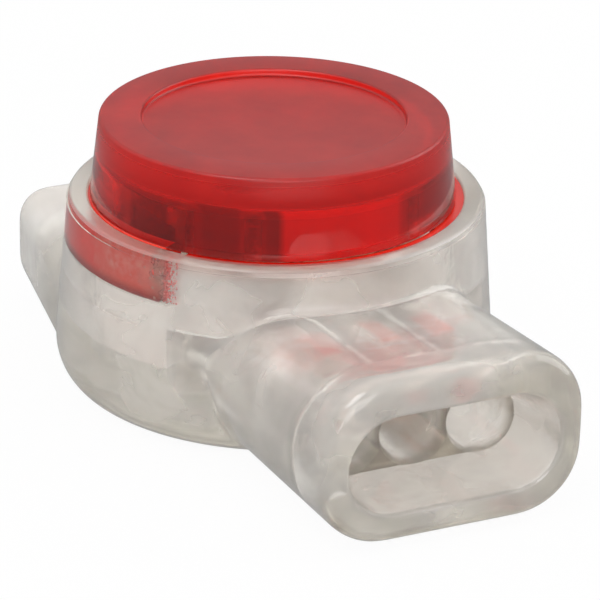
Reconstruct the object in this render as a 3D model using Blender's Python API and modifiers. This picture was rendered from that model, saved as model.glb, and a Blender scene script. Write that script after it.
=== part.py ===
"""Waterproof wire connector for three wires.

A clear moulded housing has a nose with an open mouth, three round wire channels that run
on into a closed tail, and a round cup above them. A red cap stands in the cup and carries
a slotted metal contact. Sealant gel lies in the cup around the contact. Pressing the cap
drives the contact's blades across the three channels.

The nose points along -Y, the tail along +Y, and +Z is up. The origin is on the axis of the
cup, on its flat base. Every value is in metres.
"""
import math

import bmesh
import bpy
from mathutils import Matrix, Vector

MM = 0.001
CIRCLE_STEPS = 72
CHANNEL_STEPS = 32
CORNER_STEPS = 8
EDGE_STEPS = 3
MERGE_DISTANCE = 0.001 * MM
OVERCUT = 1.0 * MM

# Wires and their channels
WIRE_COUNT = 3
CHANNEL_RADIUS = 1.04 * MM
CHANNEL_PITCH = 2.2 * MM
CHANNEL_HEIGHT = 2.25 * MM
CHANNEL_ROOF = 0.31 * MM

# Cup
RIM_HEIGHT = 6.12 * MM
RIM_WALL = 0.62 * MM
CUP_FLARE = 0.43 * MM
FOOT_INSET = 0.78 * MM
FOOT_HEIGHT = 1.1 * MM

# Nose, from its root inside the cup to its front face
NOSE_REACH = 12.58 * MM
NOSE_ROOT = 3.0 * MM
NOSE_UNDERSIDE = 0.17 * MM
NOSE_ROOT_TOP = 4.37 * MM
NOSE_SIDE_WALL = 0.81 * MM
NOSE_TOP_WALL = 1.19 * MM
NOSE_SIDE_TAPER = 0.37 * MM
NOSE_CORNER = 2.05 * MM
NOSE_EDGE = 0.22 * MM

# Mouth in the nose
MOUTH_DEPTH = 2.6 * MM
MOUTH_HEIGHT = 3.05 * MM
MOUTH_FLARE = 0.11 * MM
MOUTH_DROP = 0.06 * MM
MOUTH_BACK_MARGIN = 0.03 * MM

# Tail, from its root inside the cup to its closed end
TAIL_REACH = 8.7 * MM
TAIL_ROOT = 2.0 * MM
TAIL_END_WALL = 0.8 * MM
TAIL_HALF_WIDTH = 5.5 * MM
TAIL_ROOT_HALF_WIDTH = 6.35 * MM
TAIL_UNDERSIDE = 0.7 * MM
TAIL_ROOT_UNDERSIDE = 0.2 * MM
TAIL_TOP = 3.8 * MM
TAIL_ROOT_TOP = 3.5 * MM
TAIL_CORNER = 1.25 * MM
TAIL_EDGE = 0.4 * MM

# Cap
CAP_TRAVEL = 2.35 * MM
CAP_PROUD = 2.52 * MM
CAP_TOP_RADIUS = 5.45 * MM
CAP_SKIRT_RADIUS = 5.73 * MM
CAP_WALL = 0.78 * MM
CAP_CEILING = 0.95 * MM
CAP_EDGE = 0.2 * MM
CAP_CLEARANCE = 0.15 * MM
DISC_RADIUS = 4.2 * MM
DISC_DEPTH = 0.22 * MM
DISC_SLOPE = 0.12 * MM
TAB_DEPTH = 1.29 * MM
TAB_HALF_ANGLE = 31.5
TAB_CLEARANCE = 0.15 * MM
TAB_OUTER_CLEARANCE = 0.08 * MM
TAB_SIDE_MARGIN = 0.61 * MM
RIB_THICKNESS = 0.6 * MM
RIB_HALF_LENGTH = 2.4 * MM

# Contact
PLATE = 0.4 * MM
BLADE_SPACING = 3.0 * MM
BLADE_SIDE_MARGIN = 0.2 * MM
BLADE_CLEARANCE = 0.1 * MM
BLADE_ENTRY = 0.25 * MM
BEND_RADIUS = 0.3 * MM
WIRE_SLOT_WIDTH = 0.5 * MM
WIRE_SLOT_RISE = 0.6 * MM
LEAD_IN_WIDTH = 1.3 * MM
LEAD_IN_HEIGHT = 0.5 * MM

# Fits
SEAT_GAP = 0.3 * MM
LANDING_CLEARANCE = 0.15 * MM

# Places that follow from the sizes above
channel_row = (WIRE_COUNT - 1) / 2 * CHANNEL_PITCH + CHANNEL_RADIUS
well_floor = CHANNEL_HEIGHT + CHANNEL_RADIUS + CHANNEL_ROOF
bore_radius = CAP_SKIRT_RADIUS + CAP_CLEARANCE
rim_radius = bore_radius + RIM_WALL
flare_radius = rim_radius + CUP_FLARE
tab_bottom = RIM_HEIGHT - TAB_DEPTH
tab_inner_x = channel_row + TAB_SIDE_MARGIN + TAB_CLEARANCE
cap_top = RIM_HEIGHT + CAP_PROUD
cap_ceiling = cap_top - DISC_DEPTH - CAP_CEILING
cap_inner_radius = CAP_SKIRT_RADIUS - CAP_WALL
skirt_bottom = well_floor + CAP_TRAVEL + LANDING_CLEARANCE
contact_top = cap_ceiling - SEAT_GAP
blade_tip = well_floor - BLADE_ENTRY
blade_half_width = channel_row + BLADE_SIDE_MARGIN
blade_slot_floor = blade_tip - CAP_TRAVEL - LANDING_CLEARANCE
mouth_bottom = CHANNEL_HEIGHT - CHANNEL_RADIUS - MOUTH_DROP
mouth_half_width = channel_row + MOUTH_FLARE


def new_collection(name):
    """Make a collection in the scene."""
    collection = bpy.data.collections.new(name)
    bpy.context.scene.collection.children.link(collection)
    return collection


def principled(name, colour, roughness, metallic=0.0, transmission=0.0, ior=1.5):
    """Make a material with the part's colour and finish."""
    material = bpy.data.materials.new(name)
    material.use_nodes = True
    shader = material.node_tree.nodes["Principled BSDF"]
    shader.inputs["Base Color"].default_value = (*colour, 1.0)
    shader.inputs["Roughness"].default_value = roughness
    shader.inputs["Metallic"].default_value = metallic
    shader.inputs["Transmission Weight"].default_value = transmission
    shader.inputs["IOR"].default_value = ior
    material.diffuse_color = (*colour, 1.0)
    return material


def add_mesh_object(name, mesh, collection, matrix=None):
    """Place a mesh in a collection as a named object."""
    thing = bpy.data.objects.new(name, mesh)
    collection.objects.link(thing)
    if matrix is not None:
        thing.matrix_world = matrix
    return thing


def finish_bmesh(shape, name):
    """Turn a bmesh into a mesh whose faces point outwards."""
    bmesh.ops.recalc_face_normals(shape, faces=shape.faces)
    mesh = bpy.data.meshes.new(name)
    shape.to_mesh(mesh)
    shape.free()
    return mesh


def box(name, low, high, collection):
    """A box between two corners."""
    low, high = Vector(low), Vector(high)
    shape = bmesh.new()
    size = Matrix.Diagonal((*(high - low), 1.0))
    bmesh.ops.create_cube(shape, size=1.0, matrix=Matrix.Translation((low + high) / 2) @ size)
    return add_mesh_object(name, finish_bmesh(shape, name), collection)


def cylinder(name, radius, start, end, steps, collection):
    """A closed cylinder between two points on its axis."""
    start, end = Vector(start), Vector(end)
    along = end - start
    turn = along.to_track_quat("Z", "Y").to_matrix().to_4x4()
    shape = bmesh.new()
    bmesh.ops.create_cone(
        shape, cap_ends=True, segments=steps, radius1=radius, radius2=radius,
        depth=along.length, matrix=Matrix.Translation((start + end) / 2) @ turn)
    return add_mesh_object(name, finish_bmesh(shape, name), collection)


def turned(name, profile, collection):
    """A solid of revolution about Z. The profile runs down its outer side."""
    mesh = bpy.data.meshes.new(name)
    edges = [(i, i + 1) for i in range(len(profile) - 1)]
    mesh.from_pydata([(radius, 0.0, height) for radius, height in profile], edges, [])
    thing = add_mesh_object(name, mesh, collection)
    screw = thing.modifiers.new("turn", "SCREW")
    screw.axis = "Z"
    screw.steps = CIRCLE_STEPS
    screw.render_steps = CIRCLE_STEPS
    screw.use_merge_vertices = True
    screw.merge_threshold = MERGE_DISTANCE
    screw.use_smooth_shade = True
    return thing


def extruded(name, outline, half_depth, matrix, collection):
    """A flat outline in X and Y, thickened both ways along Z and then placed."""
    curve = bpy.data.curves.new(name + "_outline", "CURVE")
    curve.dimensions = "2D"
    curve.fill_mode = "BOTH"
    curve.extrude = half_depth
    spline = curve.splines.new("POLY")
    spline.points.add(len(outline) - 1)
    for point, (x, y) in zip(spline.points, outline):
        point.co = (x, y, 0.0, 1.0)
    spline.use_cyclic_u = True
    guide = bpy.data.objects.new(name + "_outline", curve)
    collection.objects.link(guide)
    guide.matrix_world = matrix
    bpy.context.view_layer.update()
    seen = guide.evaluated_get(bpy.context.evaluated_depsgraph_get())
    mesh = bpy.data.meshes.new_from_object(seen)
    shape = bmesh.new()
    shape.from_mesh(mesh)
    bpy.data.meshes.remove(mesh)
    bmesh.ops.remove_doubles(shape, verts=shape.verts, dist=MERGE_DISTANCE)
    solid = add_mesh_object(name, finish_bmesh(shape, name), collection, guide.matrix_world.copy())
    bpy.data.objects.remove(guide)
    return solid


def arc(centre, radii, start_deg, end_deg, steps):
    """Points on an arc of a circle or ellipse, both ends included."""
    points = []
    for i in range(steps + 1):
        angle = math.radians(start_deg + (end_deg - start_deg) * i / steps)
        points.append((centre[0] + radii[0] * math.cos(angle), centre[1] + radii[1] * math.sin(angle)))
    return points


def rounded_outline(half_width, low, high, corner):
    """A rounded rectangle in X and Z, as wide on each side of X = 0."""
    corner = min(corner, 0.499 * (high - low), 0.999 * half_width)
    right, left = half_width - corner, corner - half_width
    top, bottom = high - corner, low + corner
    points = []
    for x, z, start in ((right, top, 0), (left, top, 90), (left, bottom, 180), (right, bottom, 270)):
        points += arc((x, z), (corner, corner), start, start + 90, CORNER_STEPS)
    return points


def lofted(name, sections, collection):
    """A closed solid through sections, each one a place on Y and an outline in X and Z."""
    shape = bmesh.new()
    rings = [[shape.verts.new((x, y, z)) for x, z in outline] for y, outline in sections]
    for near, far in zip(rings, rings[1:]):
        for i in range(len(near)):
            j = (i + 1) % len(near)
            shape.faces.new((near[i], near[j], far[j], far[i]))
    shape.faces.new(rings[0])
    shape.faces.new(rings[-1])
    return add_mesh_object(name, finish_bmesh(shape, name), collection)


def rounded_end(y, outward, half_width, low, high, corner, edge):
    """Sections that round the edge of a block's end face over the edge radius."""
    sections = []
    for across, along in arc((0.0, 0.0), (edge, edge), 0, 90, EDGE_STEPS):
        inset = edge - across
        outline = rounded_outline(half_width - inset, low + inset, high - inset, corner - inset)
        sections.append((y - outward * (edge - along), outline))
    return sections


def combine(target, tool, operation):
    """Join or cut an object with a tool object, which is then only a guide."""
    step = target.modifiers.new(operation.lower() + "_" + tool.name, "BOOLEAN")
    step.operation = operation
    step.solver = "EXACT"
    step.object = tool
    tool.hide_render = True
    tool.display_type = "WIRE"


def wire_positions():
    """The place of each wire channel across the nose."""
    return [(i - (WIRE_COUNT - 1) / 2) * CHANNEL_PITCH for i in range(WIRE_COUNT)]


def cup_profile():
    """The outside of the cup: a drafted wall and a rounded foot."""
    foot = arc((flare_radius - FOOT_INSET, FOOT_HEIGHT), (FOOT_INSET, FOOT_HEIGHT), 0, -90, 2 * CORNER_STEPS)
    return [(0.0, RIM_HEIGHT), (rim_radius, RIM_HEIGHT), *foot, (0.0, 0.0)]


def nose_block(collection):
    """The nose: wide and tall at the mouth, and lower where it leaves the cup."""
    half_width = mouth_half_width + NOSE_SIDE_WALL
    top = mouth_bottom + MOUTH_HEIGHT + NOSE_TOP_WALL
    root = rounded_outline(half_width + NOSE_SIDE_TAPER, NOSE_UNDERSIDE, NOSE_ROOT_TOP, NOSE_CORNER)
    front = rounded_end(-NOSE_REACH, -1, half_width, NOSE_UNDERSIDE, top, NOSE_CORNER, NOSE_EDGE)
    return lofted("nose_block", [(-NOSE_ROOT, root), *front], collection)


def tail_block(collection):
    """The closed tail that holds the wires' ends."""
    root = rounded_outline(TAIL_ROOT_HALF_WIDTH, TAIL_ROOT_UNDERSIDE, TAIL_ROOT_TOP, TAIL_CORNER)
    end = rounded_end(TAIL_REACH, 1, TAIL_HALF_WIDTH, TAIL_UNDERSIDE, TAIL_TOP, TAIL_CORNER, TAIL_EDGE)
    return lofted("tail_block", [(TAIL_ROOT, root), *end], collection)


def mouth_cutter(collection):
    """The mouth narrows from the front face to the row of channels at its back."""
    front = rounded_outline(mouth_half_width, mouth_bottom, mouth_bottom + MOUTH_HEIGHT, MOUTH_HEIGHT)
    back_half_width = channel_row + MOUTH_BACK_MARGIN
    back_low = CHANNEL_HEIGHT - CHANNEL_RADIUS - MOUTH_BACK_MARGIN
    back_high = CHANNEL_HEIGHT + CHANNEL_RADIUS + MOUTH_BACK_MARGIN
    back = rounded_outline(back_half_width, back_low, back_high, CHANNEL_RADIUS)
    sections = [(-NOSE_REACH - OVERCUT, front), (-NOSE_REACH, front), (MOUTH_DEPTH - NOSE_REACH, back)]
    return lofted("mouth", sections, collection)


def tab_pocket(side, collection):
    """A pocket beside the channels that takes one tab of the cap."""
    radius = CAP_SKIRT_RADIUS + TAB_OUTER_CLEARANCE
    inner_x = tab_inner_x - TAB_CLEARANCE
    half_angle = TAB_HALF_ANGLE + math.degrees(TAB_CLEARANCE / inner_x)
    inner_y = inner_x * math.tan(math.radians(half_angle))
    curve = arc((0.0, 0.0), (radius, radius), -half_angle, half_angle, 2 * CORNER_STEPS)
    outline = [(inner_x, -inner_y), *curve, (inner_x, inner_y)]
    floor = tab_bottom - CAP_TRAVEL - LANDING_CLEARANCE
    depth = well_floor + OVERCUT - floor
    turn = Matrix.Rotation(0.0 if side > 0 else math.pi, 4, "Z")
    place = Matrix.Translation((0.0, 0.0, floor + depth / 2)) @ turn
    return extruded("tab_pocket_" + ("right" if side > 0 else "left"), outline, depth / 2, place, collection)


def make_housing(parts, cutters):
    """The clear housing: cup, nose and tail in one, cut for cap, contact and wires."""
    housing = turned("housing", cup_profile(), parts)
    combine(housing, nose_block(cutters), "UNION")
    combine(housing, tail_block(cutters), "UNION")
    well_top = (0.0, 0.0, RIM_HEIGHT + OVERCUT)
    well = cylinder("well", bore_radius, (0.0, 0.0, well_floor), well_top, CIRCLE_STEPS, cutters)
    combine(housing, well, "DIFFERENCE")
    for side in (-1, 1):
        combine(housing, tab_pocket(side, cutters), "DIFFERENCE")
    combine(housing, mouth_cutter(cutters), "DIFFERENCE")
    channel_end = TAIL_REACH - TAIL_END_WALL
    channel_start = MOUTH_DEPTH - NOSE_REACH - CHANNEL_RADIUS
    for i, x in enumerate(wire_positions()):
        start, end = (x, channel_start, CHANNEL_HEIGHT), (x, channel_end, CHANNEL_HEIGHT)
        channel = cylinder(f"channel_{i + 1}", CHANNEL_RADIUS, start, end, CHANNEL_STEPS, cutters)
        combine(housing, channel, "DIFFERENCE")
    slot_half_width = blade_half_width + BLADE_CLEARANCE
    slot_half_depth = PLATE / 2 + BLADE_CLEARANCE
    for side in (-1, 1):
        y = side * BLADE_SPACING / 2
        low = (-slot_half_width, y - slot_half_depth, blade_slot_floor)
        high = (slot_half_width, y + slot_half_depth, well_floor + OVERCUT)
        slot = box("blade_slot_" + ("front" if side < 0 else "rear"), low, high, cutters)
        combine(housing, slot, "DIFFERENCE")
    housing.data.materials.append(principled("clear_housing", (0.72, 0.69, 0.65), 0.12, transmission=0.9, ior=1.58))
    return housing


def cap_profile():
    """The cap from the middle of its sunk disc, down its side and up its inside."""
    disc_floor = cap_top - DISC_DEPTH
    edge = arc((CAP_TOP_RADIUS - CAP_EDGE, cap_top - CAP_EDGE), (CAP_EDGE, CAP_EDGE), 90, 0, EDGE_STEPS)
    return [
        (0.0, disc_floor),
        (DISC_RADIUS - DISC_SLOPE, disc_floor),
        (DISC_RADIUS, cap_top),
        *edge,
        (CAP_SKIRT_RADIUS, RIM_HEIGHT),
        (CAP_SKIRT_RADIUS, tab_bottom),
        (cap_inner_radius, tab_bottom),
        (cap_inner_radius, cap_ceiling),
        (0.0, cap_ceiling),
    ]


def skirt_cutter(collection):
    """What is cut from the skirt so that only its two side tabs reach down."""
    far, near = CAP_SKIRT_RADIUS + OVERCUT, tab_inner_x
    slope = math.tan(math.radians(TAB_HALF_ANGLE))
    outline = [
        (-far, -far), (far, -far), (far, -slope * far), (near, -slope * near),
        (near, slope * near), (far, slope * far), (far, far), (-far, far),
        (-far, slope * far), (-near, slope * near), (-near, -slope * near), (-far, -slope * far),
    ]
    low = tab_bottom - OVERCUT
    place = Matrix.Translation((0.0, 0.0, (low + skirt_bottom) / 2))
    return extruded("skirt_cut", outline, (skirt_bottom - low) / 2, place, collection)


def rib_faces():
    """Where each grip rib starts and ends along Y, outside the contact's blades."""
    near = BLADE_SPACING / 2 + PLATE / 2 + BLADE_CLEARANCE
    return near, near + RIB_THICKNESS


def make_cap(parts, cutters):
    """The red cap: a drafted cup with a sunk disc, two tabs and two grip ribs."""
    cap = turned("cap", cap_profile(), parts)
    combine(cap, skirt_cutter(cutters), "DIFFERENCE")
    near, far = rib_faces()
    for side in (-1, 1):
        y_low, y_high = sorted((side * near, side * far))
        low = (-RIB_HALF_LENGTH, y_low, skirt_bottom)
        high = (RIB_HALF_LENGTH, y_high, cap_ceiling + CAP_CEILING / 2)
        rib = box("grip_rib_" + ("front" if side < 0 else "rear"), low, high, cutters)
        combine(cap, rib, "UNION")
    cap.data.materials.append(principled("red_cap", (0.55, 0.02, 0.025), 0.1, transmission=0.6, ior=1.58))
    return cap


def across(half_width):
    """Turn an outline in Y and Z to face along X, and give its half depth."""
    upright = Matrix(((0, 0, 1, 0), (1, 0, 0, 0), (0, 1, 0, 0), (0, 0, 0, 1)))
    return half_width, upright


def bent_strip(collection):
    """The contact's strip, bent to a U that opens downwards."""
    outer, inner = BLADE_SPACING / 2 + PLATE / 2, BLADE_SPACING / 2 - PLATE / 2
    outer_bend, inner_bend = BEND_RADIUS + PLATE, BEND_RADIUS
    outer_z, inner_z = contact_top - outer_bend, contact_top - PLATE - inner_bend
    outline = [(-outer, blade_tip)]
    outline += arc((outer_bend - outer, outer_z), (outer_bend, outer_bend), 180, 90, CORNER_STEPS)
    outline += arc((outer - outer_bend, outer_z), (outer_bend, outer_bend), 90, 0, CORNER_STEPS)
    outline += [(outer, blade_tip), (inner, blade_tip)]
    outline += arc((inner - inner_bend, inner_z), (inner_bend, inner_bend), 0, 90, CORNER_STEPS)
    outline += arc((inner_bend - inner, inner_z), (inner_bend, inner_bend), 90, 180, CORNER_STEPS)
    outline += [(-inner, blade_tip)]
    return extruded("contact", outline, *across(blade_half_width), collection)


def wire_slot(index, x, collection):
    """The slot that bites one wire, with its flared lead-in, through both blades."""
    half = WIRE_SLOT_WIDTH / 2
    crown = CHANNEL_HEIGHT + CAP_TRAVEL + WIRE_SLOT_RISE - half
    lead_top = blade_tip + LEAD_IN_HEIGHT
    flare = LEAD_IN_WIDTH / 2
    outline = [(-half, lead_top), (-flare, blade_tip), (-flare, blade_tip - OVERCUT)]
    outline += [(flare, blade_tip - OVERCUT), (flare, blade_tip), (half, lead_top)]
    outline += arc((0.0, crown), (half, half), 0, 180, CORNER_STEPS)
    facing = Matrix.Translation((x, 0.0, 0.0)) @ Matrix.Rotation(math.pi / 2, 4, "X")
    return extruded(f"wire_slot_{index}", outline, BLADE_SPACING, facing, collection)


def make_contact(parts, cutters):
    """The contact: one strip bent to a U, whose two blades have a slot for each wire."""
    contact = bent_strip(parts)
    for i, x in enumerate(wire_positions()):
        combine(contact, wire_slot(i + 1, x, cutters), "DIFFERENCE")
    contact.data.materials.append(principled("tinned_metal", (0.62, 0.6, 0.56), 0.28, metallic=1.0))
    return contact


def contact_room(bottom, collection):
    """The space that the gel leaves around the contact, open above it."""
    outer = BLADE_SPACING / 2 + PLATE / 2 + SEAT_GAP
    inner = BLADE_SPACING / 2 - PLATE / 2 - SEAT_GAP
    under, high = contact_top - PLATE - SEAT_GAP, contact_top + OVERCUT
    outline = [(-outer, bottom), (-outer, high), (outer, high), (outer, bottom)]
    outline += [(inner, bottom), (inner, under), (-inner, under), (-inner, bottom)]
    return extruded("room_for_contact", outline, *across(blade_half_width + SEAT_GAP), collection)


def make_sealant_gel(parts, cutters):
    """The gel in the cup, shaped around the contact and the cap's ribs."""
    bottom = well_floor + SEAT_GAP
    radius = cap_inner_radius - SEAT_GAP
    gel = cylinder("sealant_gel", radius, (0.0, 0.0, bottom), (0.0, 0.0, contact_top), CIRCLE_STEPS, parts)
    combine(gel, contact_room(bottom - OVERCUT, cutters), "DIFFERENCE")
    near, far = rib_faces()
    for side in (-1, 1):
        y_low, y_high = sorted((side * near, side * (far + SEAT_GAP)))
        reach = RIB_HALF_LENGTH + SEAT_GAP
        low = (-reach, y_low, bottom - OVERCUT)
        high = (reach, y_high, contact_top + OVERCUT)
        rib_room = box("room_for_rib_" + ("front" if side < 0 else "rear"), low, high, cutters)
        combine(gel, rib_room, "DIFFERENCE")
    gel.data.materials.append(principled("sealant_gel", (0.8, 0.78, 0.7), 0.1, transmission=0.8, ior=1.42))
    return gel


def shade(thing):
    """Smooth the round faces and keep the edges sharp."""
    mesh = thing.data
    if len(mesh.polygons):
        mesh.shade_smooth()
        mesh.set_sharp_from_angle(angle=math.radians(30))


def main():
    """Build the connector in an emptied scene."""
    for thing in list(bpy.data.objects):
        bpy.data.objects.remove(thing)
    parts = new_collection("waterproof_wire_connector")
    cutters = new_collection("cutters")
    housing = make_housing(parts, cutters)
    cap = make_cap(parts, cutters)
    contact = make_contact(parts, cutters)
    gel = make_sealant_gel(parts, cutters)
    for thing in (housing, cap, contact, gel):
        shade(thing)
    press_axis = bpy.data.objects.new("press_axis", None)
    parts.objects.link(press_axis)
    press_axis.location = (0.0, 0.0, RIM_HEIGHT)
    bpy.context.view_layer.update()
    for thing in (cap, contact):
        thing.parent = press_axis
        thing.matrix_parent_inverse = press_axis.matrix_world.inverted()


main()
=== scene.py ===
"""The looks of a clear, gel-filled wire connector with a red press cap.

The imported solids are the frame. Every visible piece is rebuilt here with its moulded edges,
lips and fillets, rides on the body it belongs to, and stands in for its plain solid. The
nose points along -Y, the tail along +Y and +Z is up, in metres.
"""
import logging
import math
import random
from dataclasses import dataclass, field
from enum import Enum
from typing import ClassVar

import bmesh
import bpy
from mathutils import Matrix, Vector


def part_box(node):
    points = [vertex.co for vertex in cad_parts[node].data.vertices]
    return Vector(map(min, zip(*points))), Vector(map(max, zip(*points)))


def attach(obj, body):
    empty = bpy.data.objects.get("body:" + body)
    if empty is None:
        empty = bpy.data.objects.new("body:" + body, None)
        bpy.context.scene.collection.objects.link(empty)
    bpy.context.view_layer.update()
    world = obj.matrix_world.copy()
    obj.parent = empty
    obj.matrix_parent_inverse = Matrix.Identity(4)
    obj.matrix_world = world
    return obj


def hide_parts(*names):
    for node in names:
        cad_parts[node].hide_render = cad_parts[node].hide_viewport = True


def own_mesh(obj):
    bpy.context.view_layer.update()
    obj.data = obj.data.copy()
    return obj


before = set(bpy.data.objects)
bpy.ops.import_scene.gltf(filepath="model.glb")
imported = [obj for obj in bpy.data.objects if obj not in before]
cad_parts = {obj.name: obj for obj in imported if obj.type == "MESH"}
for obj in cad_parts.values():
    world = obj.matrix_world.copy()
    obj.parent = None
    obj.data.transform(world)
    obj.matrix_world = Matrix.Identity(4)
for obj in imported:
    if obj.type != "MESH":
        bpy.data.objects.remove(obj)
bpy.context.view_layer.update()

LOG = logging.getLogger("connector")
MM = 0.001
TURN_STEPS = 192

Colour = tuple[float, float, float, float]
Pair = tuple[float, float]
Triple = tuple[float, float, float]
Section = tuple[float, list[Pair]]
Steps = list[tuple[str, float, float]]
Material = bpy.types.Material
Socket = bpy.types.NodeSocket
Thing = bpy.types.Object


class Body(Enum):
    """The two bodies that pieces ride on."""

    HOUSING = "housing_body"
    CAP = "cap_body"


class Slot(Enum):
    """The record's material slots."""

    HOUSING = "housing"
    CAP = "cap"
    CONTACT = "contact"
    GEL = "gel"


class Cut(Enum):
    """How one mesh is combined with another."""

    JOIN = "UNION"
    REMOVE = "DIFFERENCE"


class Side(Enum):
    """Which side of a limit a value lies on."""

    BELOW = "LESS_THAN"
    ABOVE = "GREATER_THAN"


def linear(hex_colour: str) -> Colour:
    """Turn an sRGB hex colour into linear values.

    Args:
        hex_colour: Six hex digits, such as "c8c4bc".

    Returns:
        Red, green, blue and an alpha of one.
    """
    values = [int(hex_colour[i:i + 2], 16) / 255 for i in (0, 2, 4)]
    red, green, blue = (v / 12.92 if v <= 0.04045 else ((v + 0.055) / 1.055) ** 2.4 for v in values)
    return red, green, blue, 1.0


def grey(value: float) -> Colour:
    """A grey of one linear value."""
    return value, value, value, 1.0


def scale_of(size_mm: float) -> float:
    """The scale of a pattern whose features are this size in millimetres."""
    return 1 / (size_mm * MM)


def between(start: Pair, end: Pair = (0.0, 1.0)) -> dict[str, float]:
    """Settings that carry values from one span over to another."""
    return {"From Min": start[0], "From Max": start[1], "To Min": end[0], "To Max": end[1]}


def add_node(tree: bpy.types.NodeTree, kind: str, settings: dict | None = None,
             links: dict | None = None) -> bpy.types.Node:
    """Add a node with its settings and its incoming links.

    Args:
        tree: The node tree it goes in.
        kind: The node's type name.
        settings: Attributes or inputs with their values, or "stops" with a ramp's places and colours.
        links: Input names or numbers with the sockets that feed them.

    Returns:
        The new node.
    """
    node = tree.nodes.new(kind)
    for name, value in (settings or {}).items():
        if name == "stops":
            elements = node.color_ramp.elements
            while len(elements) < len(value):
                elements.new(1.0)
            for element, (spot, colour) in zip(elements, value):
                element.position = spot
                element.color = linear(colour) if isinstance(colour, str) else colour
        elif isinstance(name, str) and hasattr(node, name):
            setattr(node, name, value)
        else:
            node.inputs[name].default_value = value
    for name, socket in (links or {}).items():
        tree.links.new(socket, node.inputs[name])
    return node


def seen_straight(tree: bpy.types.NodeTree) -> tuple[Socket, Socket]:
    """Which rays show the plain background.

    Args:
        tree: The node tree.

    Returns:
        One for rays from the camera or through clear parts, and one for those and mirrored rays.
    """
    rays = add_node(tree, "ShaderNodeLightPath")
    straight = add_node(tree, "ShaderNodeMath", {"operation": "MAXIMUM"},
                        {0: rays.outputs["Is Camera Ray"], 1: rays.outputs["Is Transmission Ray"]})
    every = add_node(tree, "ShaderNodeMath", {"operation": "MAXIMUM"},
                     {0: straight.outputs[0], 1: rays.outputs["Is Glossy Ray"]})
    return straight.outputs[0], every.outputs[0]


class Draft:
    """A material being made, with its shader and the place of each point on the object."""

    def __init__(self, name: str, uniform: dict[str, float | Colour]) -> None:
        """Start the material.

        Args:
            name: What the material is called.
            uniform: The shader's inputs that are the same all over.
        """
        self.material = bpy.data.materials.new(name)
        self.material.use_nodes = True
        self.tree = self.material.node_tree
        self.shader = self.tree.nodes["Principled BSDF"]
        for socket, value in uniform.items():
            self.shader.inputs[socket].default_value = value
        self.place = self.add("ShaderNodeTexCoord").outputs["Object"]
        self.axes = self.add("ShaderNodeSeparateXYZ", links={0: self.place}).outputs

    def add(self, kind: str, settings: dict | None = None, links: dict | None = None) -> bpy.types.Node:
        """Add a node to this material, as add_node does."""
        return add_node(self.tree, kind, settings, links)

    def product(self, factors: list[Socket]) -> Socket:
        """Multiply masks that have to hold together.

        Args:
            factors: The masks.

        Returns:
            One where all of them are one.
        """
        total = factors[0]
        for factor in factors[1:]:
            total = self.add("ShaderNodeMath", {"operation": "MULTIPLY"}, {0: total, 1: factor}).outputs[0]
        return total

    def region(self, steps: Steps) -> Socket:
        """Mark where a point lies past each of some soft steps.

        Args:
            steps: An axis for each, with where the step starts and ends, in millimetres.

        Returns:
            One inside, zero outside.
        """
        return self.product([self.add("ShaderNodeMapRange", {
            "interpolation_type": "SMOOTHSTEP", **between((start * MM, end * MM))},
            {"Value": self.axes[axis]}).outputs[0] for axis, start, end in steps])

    def where(self, tests: list[tuple[Socket, Side, float]]) -> Socket:
        """One where each value lies on its side of its limit, zero elsewhere."""
        masks = [self.add("ShaderNodeMath", {"operation": side.value, 1: limit}, {0: value}).outputs[0]
                 for value, side, limit in tests]
        return self.product(masks)

    def from_axis(self) -> Socket:
        """Measure how far each point is from the cup's axis.

        Returns:
            The distance.
        """
        flat = self.add("ShaderNodeVectorMath", {"operation": "MULTIPLY", 1: (1.0, 1.0, 0.0)},
                        {0: self.place})
        length = self.add("ShaderNodeVectorMath", {"operation": "LENGTH"}, {0: flat.outputs[0]})
        return length.outputs["Value"]

    def overlaid(self, lowest: Socket, layers: list[tuple[Socket, float | str | Socket]]) -> Socket:
        """Lay values or colours over one another, each where its mask is one.

        Args:
            lowest: The value or colour under them all.
            layers: A mask for each, with its value, its hex colour or the socket that gives it.

        Returns:
            What is seen from above.
        """
        kind, under, result = ("RGBA", 6, 2) if lowest.type == "RGBA" else ("FLOAT", 2, 0)
        over = under + 1
        for mask, layer in layers:
            settings, links = {"data_type": kind}, {0: mask, under: lowest}
            if isinstance(layer, Socket):
                links[over] = layer
            else:
                settings[over] = linear(layer) if isinstance(layer, str) else layer
            lowest = self.add("ShaderNodeMix", settings, links).outputs[result]
        return lowest

    def feed(self, surface: dict[str, Socket], **output: Socket) -> Material:
        """Link sockets to the shader and to the material's output.

        Args:
            surface: The shader's inputs with what feeds them.
            output: The output's inputs with what feeds them.

        Returns:
            The finished material.
        """
        ends = ((self.shader, surface), (self.tree.nodes["Material Output"], output))
        for node, sockets in ends:
            for name, socket in sockets.items():
                self.tree.links.new(socket, node.inputs[name])
        return self.material


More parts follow.
